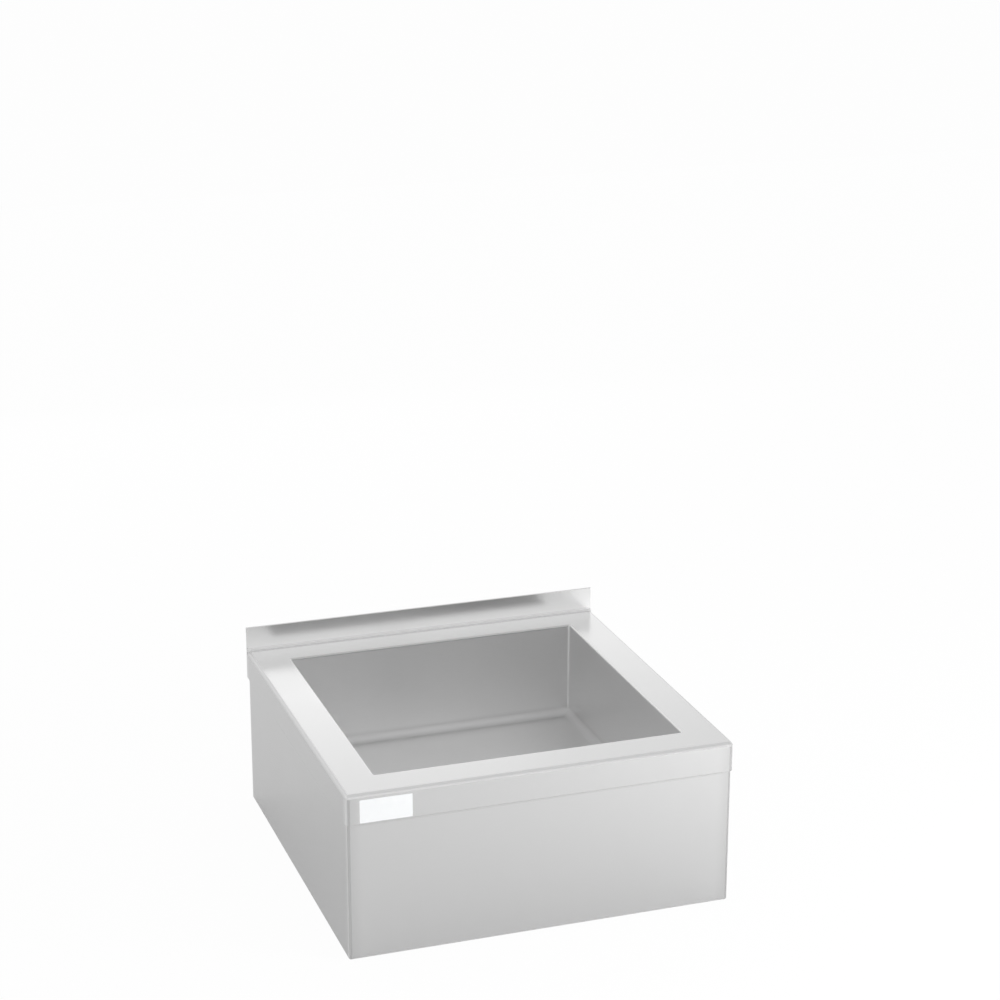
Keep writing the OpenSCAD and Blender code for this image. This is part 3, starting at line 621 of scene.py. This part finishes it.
# %% Gasket, slip ring and tail washer
def ring(name, outer_r, inner_r, low, high, edge, material, node):
    """A flat ring with rounded edges."""
    bm = bmesh.new()
    outline = [(inner_r, low), (outer_r, low), (outer_r, high), (inner_r, high)]
    turn(bm, soften(outline, edge), 96)
    finish_piece(name, bm, material, "sink", [node])


nut_bore = body_r + 0.1
ring("moulded_gasket", 58, nut_bore, 115.0, 118.0, 1.1, epdm_rubber, "drain_gasket")
ring("punched_slip_ring", 54, nut_bore, 114.0, 115.0, 0.2, fibre_board, "drain_slip_ring")
ring("moulded_tail_washer", spigot_r, outlet_r, 57.7, spigot_z, 0.5, epdm_rubber,
     "tail_washer")

# A thin line of silicone was pressed out round the flange when the drain was bedded
bead = bmesh.new()
turn(bead, soften([(flange_r - 0.1, seat_z), (flange_r + 1.6, seat_z),
                   (flange_r, seat_z + 1.1)], 0.4), 120)
finish_piece("flange_sealant", bead, silicone, "sink")
print("gasket 3 mm, slip ring 1 mm, washer 2 mm")

# %% Locknut with six lugs
def toothed(angle, count, half_width, root_r, tip_r):
    """Radius of a ring with straight-sided teeth at an angle."""
    turn_of_one = 2 * math.pi / count
    off = abs((angle + turn_of_one / 2) % turn_of_one - turn_of_one / 2)
    if off <= math.asin(half_width / tip_r) + 1e-6:
        return tip_r
    if off < math.asin(half_width / root_r) - 1e-6:
        return half_width / math.sin(off)
    return root_r


def tooth_angles(count, half_width, root_r, tip_r, between):
    """Angles at which such a ring has its corners, and some between them."""
    angles = []
    for i in range(count):
        middle = 2 * math.pi * i / count
        tip, root = math.asin(half_width / tip_r), math.asin(half_width / root_r)
        angles += [middle + a for a in (-root, -tip, -tip / 3, tip / 3, tip, root)]
        gap = 2 * math.pi / count - 2 * root
        angles += [middle + root + gap * k / between for k in range(1, between)]
    return angles


nut = bmesh.new()
# Count, half width, and the radii of root and tip
lugs = (6, 6, 54, 60)
nut_low, nut_high = 102, 114
turn(nut, lambda a: [(nut_bore, nut_low), (toothed(a, *lugs), nut_low),
                     (toothed(a, *lugs), nut_high), (nut_bore, nut_high)],
     angles=tooth_angles(*lugs, 14))
finish_piece("cast_locknut", nut, cast_brass, "sink", ["drain_locknut"], edge_mm=0.9)
print("locknut:", lugs[0], "lugs out to", lugs[3], "mm")

# %% Coupling nut with ribs
nut = bmesh.new()
ribs = (12, 2, 28, 29.5)
coupling_low, coupling_high, coupling_lip = 51.7, 66.7, 55.7
coupling_bore, tail_bore = spigot_r + 0.1, 19.6
turn(nut, lambda a: [(tail_bore, coupling_low), (toothed(a, *ribs), coupling_low),
                     (toothed(a, *ribs), coupling_high), (coupling_bore, coupling_high),
                     (coupling_bore, coupling_lip), (tail_bore, coupling_lip)],
     angles=tooth_angles(*ribs, 6))
finish_piece("ribbed_coupling_nut", nut, polished_stainless, "sink",
             ["coupling_nut"], edge_mm=0.5)
print("coupling nut:", ribs[0], "ribs")

# %% [markdown]
# ## The strainer's stopper
#
# A nylon knob is pulled and pressed to open and shut the outlet. Its post carries a thick rubber
# seal with a bevelled edge. Both are soft to the hand, so they are turned with generous edges.

# %% Knob and seal
knob = bmesh.new()
profile = [(4.0, 107.5), (6.4, 107.5), (7.0, 108.1), (7.0, 110.2), (8.5, 110.5)]
profile += [(8.5 + 3.5 * math.cos(math.radians(a)), 114 + 3.5 * math.sin(math.radians(a)))
            for a in range(-90, 91, 15)]
profile += [(7.0, 117.5), (5.0, 117.1), (2.5, 116.8), (0.0, 116.7)]
turn(knob, profile, 72, closed=False)
finish_piece("moulded_knob", knob, nylon, "stopper", ["stopper_knob"])

seal = bmesh.new()
turn(seal, soften([(4.0, 87.5), (25.0, 87.5), (24.0, 92.5), (4.0, 92.5)], 0.8), 96)
finish_piece("moulded_seal", seal, epdm_rubber, "stopper", ["stopper_seal"])
print("knob 24 mm, seal 50 mm across")

# %% [markdown]
# ## The feet
#
# Each foot is a nylon glide under a zinc-plated base with a hexagon for the spanner and an M10
# stud. The stud runs up through a jam nut, the bracket and a weld nut. A thread could be faked
# with rings in the material, but a helix shows truly from every side, so it is modelled. A hexagon
# is cut from round bar, and the cutter leaves arcs on its corners: each corner is lowest where it
# is widest.

# %% Hexagon, studs, pads and nuts
foot_in = 342.5
foot_at = {"front_left": (-foot_in, -foot_in), "front_right": (foot_in, -foot_in),
           "rear_left": (-foot_in, foot_in), "rear_right": (foot_in, foot_in)}
base_top, wrench_top, thread_end, stud_top = 8, 16, 74.8, 76


def hexagon(bm, flats, bore, low, high, centre, chamfered=(True, True)):
    """A hexagon across the flats, with the arcs that a 30 degree chamfer leaves on its corners."""
    def outline(angle):
        off = (angle % (math.pi / 3)) - math.pi / 6
        r = flats / 2 / math.cos(off)
        drop = (r - flats / 2) * math.tan(math.radians(30))
        rim = flats / 2 - 0.2
        bottom = [(rim, low), (r, low + drop)] if chamfered[0] else [(r, low)]
        top = [(r, high - drop), (rim, high)] if chamfered[1] else [(r, high)]
        return [(bore, low)] + bottom + top + [(bore, high)]
    turn(bm, outline, 72, centre)


for foot, (x, y) in foot_at.items():
    centre = (x, y)
    stud = bmesh.new()
    base = [(0, 3), (10.4, 3), (11, 3.5), (11, 7.4), (10.4, base_top), (0, base_top)]
    turn(stud, base, 64, centre, closed=False)
    hexagon(stud, 14, 0, base_top, wrench_top, centre, (False, True))
    thread(stud, 5, 0.9, 1.5, wrench_top, thread_end, 32, centre)
    turn(stud, [(5, thread_end), (4.9, 75.1), (4, stud_top), (0, stud_top)], 32, centre,
         closed=False)
    finish_piece("threaded_stud_" + foot, stud, zinc_plate, "foot_" + foot,
                 ["foot_stud_" + foot])
    pad = bmesh.new()
    rim = [(0, 0.3), (12, 0.3), (12.6, 0), (15.4, 0), (16, 0.6), (16, 3.2), (15.3, 7.6), (14.9, 8),
           (11.3, 8), (11, 7.7), (11, 3), (0, 3)]
    turn(pad, rim, 72, centre, closed=False)
    finish_piece("moulded_glide_" + foot, pad, nylon, "foot_" + foot, ["foot_pad_" + foot])

for name, node, low, high, ends in (("chamfered_weld_nuts", "weld_nuts", 37, 45, (False, True)),
                                    ("chamfered_jam_nuts", "jam_nuts", 28, 34, (True, True))):
    nuts = bmesh.new()
    for centre in foot_at.values():
        hexagon(nuts, 17, 5.3, low, high, centre, ends)
    finish_piece(name, nuts, zinc_plate, "sink", [node], sharp_deg=25)
print("feet at", list(foot_at.values()))

# %% [markdown]
# ## The damping pads
#
# Thin steel drums when water falls on it, so a bitumen mat is stuck to each wall of the bowl. It is
# rolled with a waffle pattern and cut with round corners. A flat box would do for its outline. A
# fine grid is used instead, so that the pressed squares and the soft cut edge are real shape.

# %% Waffled mats
def rounded_grid(length, height, corner, step, border):
    """Rows of points over a rectangle with round corners, closer together along its border."""
    def along(half):
        inner = half - border[-1]
        count = 2 * round(inner / step)
        middle = [-inner + 2 * inner * k / count for k in range(count + 1)]
        return [-half + b for b in border[:-1]] + middle + [half - b for b in reversed(border[:-1])]

    rows = []
    for v in along(height / 2):
        row = []
        for u in along(length / 2):
            past = Vector((max(0, abs(u) - length / 2 + corner),
                           max(0, abs(v) - height / 2 + corner)))
            if past.x > 0 and past.y > 0:
                # Squares the corner's grid onto the arc, keeping its distance from the border
                reach = max(past.x, past.y)
                past = past.normalized() * reach
                u = math.copysign(length / 2 - corner + past.x, u)
                v_here = math.copysign(height / 2 - corner + past.y, v)
            else:
                v_here = v
            row.append((u, v_here))
        rows.append(row)
    return rows


def edge_gap(u, v, length, height, corner):
    """How far a point lies inside the border of such a rectangle."""
    du, dv = length / 2 - abs(u), height / 2 - abs(v)
    if du < corner and dv < corner:
        return corner - math.hypot(corner - du, corner - dv)
    return min(du, dv)


def waffled_mat(place):
    """A mat 220 by 100 by 3 mm. place turns (along, up, out) into a point of the sink."""
    bm = bmesh.new()
    length, height, thick, corner, square = 220, 100, 3, 14, 11
    rows = []
    for line in rounded_grid(length, height, corner, 1.375, (0, 0.4, 1.0, 2.0)):
        row = []
        for u, v in line:
            gap = edge_gap(u, v, length, height, corner)
            lip = 1.1 * (1 - min(1, max(0, gap) / 1.6)) ** 2
            groove = max(abs(math.cos(math.pi * u / square)), abs(math.cos(math.pi * v / square)))
            sunk = 0.55 * max(0, groove - 0.86) / 0.14 * min(1, max(0, gap) / 2)
            row.append(place(u, v, thick - 0.05 - lip - sunk))
        rows.append(row)
    sew(bm, rows, closed_round=False)
    # The cut edge runs once round the mat and straight down to the wall. It is sewn, because an
    # extrusion would number its points differently in each run
    rim = (rows[0] + [row[-1] for row in rows[1:]] + rows[-1][-2::-1]
           + [row[0] for row in rows[-2::-1]])
    origin = Vector(place(0, 0, 0))
    out = Vector(place(0, 0, 1)) - origin
    foot = [tuple(Vector(point) - out * (Vector(point) - origin).dot(out)) for point in rim]
    sew(bm, [rim, foot], closed_round=False)
    return bm


pad_z, wall = 228.5, 306.5
mats = {"front": lambda u, v, w: (u, -wall - w, pad_z + v),
        "rear": lambda u, v, w: (-u, wall + w, pad_z + v),
        "left": lambda u, v, w: (-wall - w, -u, pad_z + v),
        "right": lambda u, v, w: (wall + w, u, pad_z + v)}
for side_name, place in mats.items():
    piece = finish_piece("waffled_mat_" + side_name, waffled_mat(place), damping_mat, "sink",
                         ["sound_pad_" + side_name], sharp_deg=60)
print("mat has", len(piece.data.polygons), "faces")

# %% [markdown]
# ## Welds
#
# The sheets are argon welded. On top every seam was ground flush, but underneath the beads were
# left as the torch laid them, in overlapping scales. A bump on a plain strip would show the scales
# only from the front. Here each bead is a small outline that is carried along the joint and swells
# and shrinks with each scale. The scales are 3 mm long, a little coarser than real ones.

# %% Bead along a joint
FILLET = [(0, 0), (1, 0), (0.92, 0.38), (0.72, 0.72), (0.38, 0.92), (0, 1), (0, 0)]
FLAT = [(-1, 0), (-0.8, 0.55), (-0.35, 0.94), (0.35, 0.94), (0.8, 0.55), (1, 0), (-1, 0)]


def weld(bm, path, section, one_leg, other_leg, closed=False):
    """Carries a section along (place, one direction, other direction) points 1 mm apart."""
    scale_mm = 3.0
    rows = []
    for i, (place, one, other) in enumerate(path):
        ripple = 1 - 0.20 * ((i / scale_mm) % 1) + 0.05 * math.sin(0.37 * i)
        end = 1 if closed else min(1, 0.25 + 0.4 * i, 0.25 + 0.4 * (len(path) - 1 - i))
        rows.append([tuple(Vector(place) + Vector(one) * u * one_leg * ripple * end
                           + Vector(other) * v * other_leg * ripple * end) for u, v in section])
    sew(bm, rows, closed_round=closed)


def straight(start, end, one, other):
    """Points 1 mm apart from start to end."""
    start, end = Vector(start), Vector(end)
    count = round((end - start).length)
    return [(start.lerp(end, i / count), one, other) for i in range(count + 1)]


print("bead outlines:", len(FILLET), "and", len(FLAT), "points")

# %% Seam between the deck and the bowl
def rounded_loop(half, corner, z):
    """Points about 1 mm apart round a square with round corners, with the outward direction."""
    loop = []
    for quarter in range(4):
        turned_by = math.pi / 2 * quarter
        out = Vector((math.cos(turned_by), math.sin(turned_by), 0))
        side = Vector((-out.y, out.x, 0))
        run = half - corner
        for i in range(round(2 * run)):
            loop.append((out * half + side * (i - run) + Vector((0, 0, z)), out, (0, 0, -1)))
        for k in range(round(corner * math.pi / 2)):
            a = k / (corner * math.pi / 2) * math.pi / 2
            round_out = out * math.cos(a) + side * math.sin(a)
            loop.append(((out + side) * run + round_out * corner + Vector((0, 0, z)), round_out,
                         (0, 0, -1)))
    return loop


seam = bmesh.new()
seam_half, seam_corner, seam_z = 308, 7, 328.5
weld(seam, rounded_loop(seam_half, seam_corner, seam_z), FLAT, 2.2, 1.1, closed=True)
finish_piece("deck_seam_bead", seam, weld_metal, "sink", sharp_deg=80)
print("seam round the bowl:", round(4 * 2 * seam_half / 1000, 2), "m")

# %% Stitches on the channels and brackets, tacks on the weld nuts
stitches = bmesh.new()
lip_x, lip_z, half_stitch = 125, 122.6, 12
# The bowl's underside falls by 5 mm towards the middle, and the lip's edge stands under it
fall = 5 / 289
for side in (-1, 1):
    for y in (-105, -35, 35, 105):
        weld(stitches, straight((side * lip_x, y - half_stitch, lip_z),
                                (side * lip_x, y + half_stitch, lip_z),
                                (-side, 0, -fall), (0, 0, -1)), FILLET, 3.0, 1.9)
finish_piece("channel_stitches", stitches, weld_metal, "sink", sharp_deg=80)

inner, bracket_top = 376.5, 62
tacks = bmesh.new()
for foot, (x, y) in foot_at.items():
    sx, sy = math.copysign(1, x), math.copysign(1, y)
    weld(tacks, straight((sx * inner, sy * (inner - 45), bracket_top),
                         (sx * inner, sy * (inner - 18), bracket_top), (-sx, 0, 0), (0, 0, 1)),
         FILLET, 3.0, 3.0)
    # Behind, the skirt turns in by only 20 mm, so there the stitch is short and near the corner
    first, last = (18, 45) if sy < 0 else (7, 17)
    weld(tacks, straight((sx * (inner - last), sy * inner, bracket_top),
                         (sx * (inner - first), sy * inner, bracket_top), (0, -sy, 0), (0, 0, 1)),
         FILLET, 3.0, 3.0)
    for third in range(3):
        a = math.radians(30 + 120 * third)
        turn(tacks, [(2.5, 37), (2.2, 37.9), (1.4, 38.7), (0, 39.1)], 16,
             (x + 9.0 * math.cos(a), y + 9.0 * math.sin(a)), closed=False)
finish_piece("bracket_stitches", tacks, weld_metal, "sink", sharp_deg=80)
print("stitches:", 8, "on the channels,", 8, "on the brackets and", 12, "tacks")

# %% Spot welds in the rear panel
spots = bmesh.new()
dent = [(3.4, 0.0), (3.1, 0.10), (2.6, 0.13), (2.2, 0.05), (0.0, 0.03)]
panel_y, spot_x, spot_step = 379.5, 368, 45
spot_heights = range(34, 310, spot_step)
for side in (-1, 1):
    for z in spot_heights:
        sew(spots, [[(side * spot_x + r * math.cos(a), panel_y + h, z + r * math.sin(a))
                     for r, h in dent] for a in (2 * math.pi * i / 20 for i in range(20))])
finish_piece("spot_welds", spots, weld_metal, "sink", sharp_deg=80)
print("spot welds:", 2 * len(spot_heights), "at", spot_step, "mm")

# %% [markdown]
# ## The label
#
# A white film label sits at the left end of the front band. Its place is kept and nothing is
# printed on it, so it is a bare piece of satin vinyl. It could be a painted patch in the steel's
# material, but a real film has a thickness, and its cut edge catches the light.

# %% Blank label
label_film = grainy("white_vinyl_film", "#F1F3F4", "#F6F7F8", 0.30, 0.36, 0.6, 2)

label_w, label_h, label_r, film_t = 100, 45.5, 1.5, 0.1
label_left, label_low, band_y = -354.5, 273, -381
film = bmesh.new()
corners = []
for sx, sz, start in ((1, -1, 270), (1, 1, 0), (-1, 1, 90), (-1, -1, 180)):
    for k in range(7):
        a = math.radians(start + 15 * k)
        corners.append((label_w / 2 + sx * (label_w / 2 - label_r) + label_r * math.cos(a),
                        label_h / 2 + sz * (label_h / 2 - label_r) + label_r * math.sin(a)))
film.faces.new([film.verts.new((u, 0, v)) for u, v in corners])
outer = bmesh.ops.extrude_face_region(film, geom=film.faces[:])["geom"]
for vert in (g for g in outer if isinstance(g, bmesh.types.BMVert)):
    vert.co.y -= film_t
bmesh.ops.translate(film, verts=film.verts, vec=(label_left, band_y, label_low))
finish_piece("blank_label", film, label_film, "sink", edge_mm=0.04, sharp_deg=30)
print("label", label_w, "by", label_h, "mm, bare")
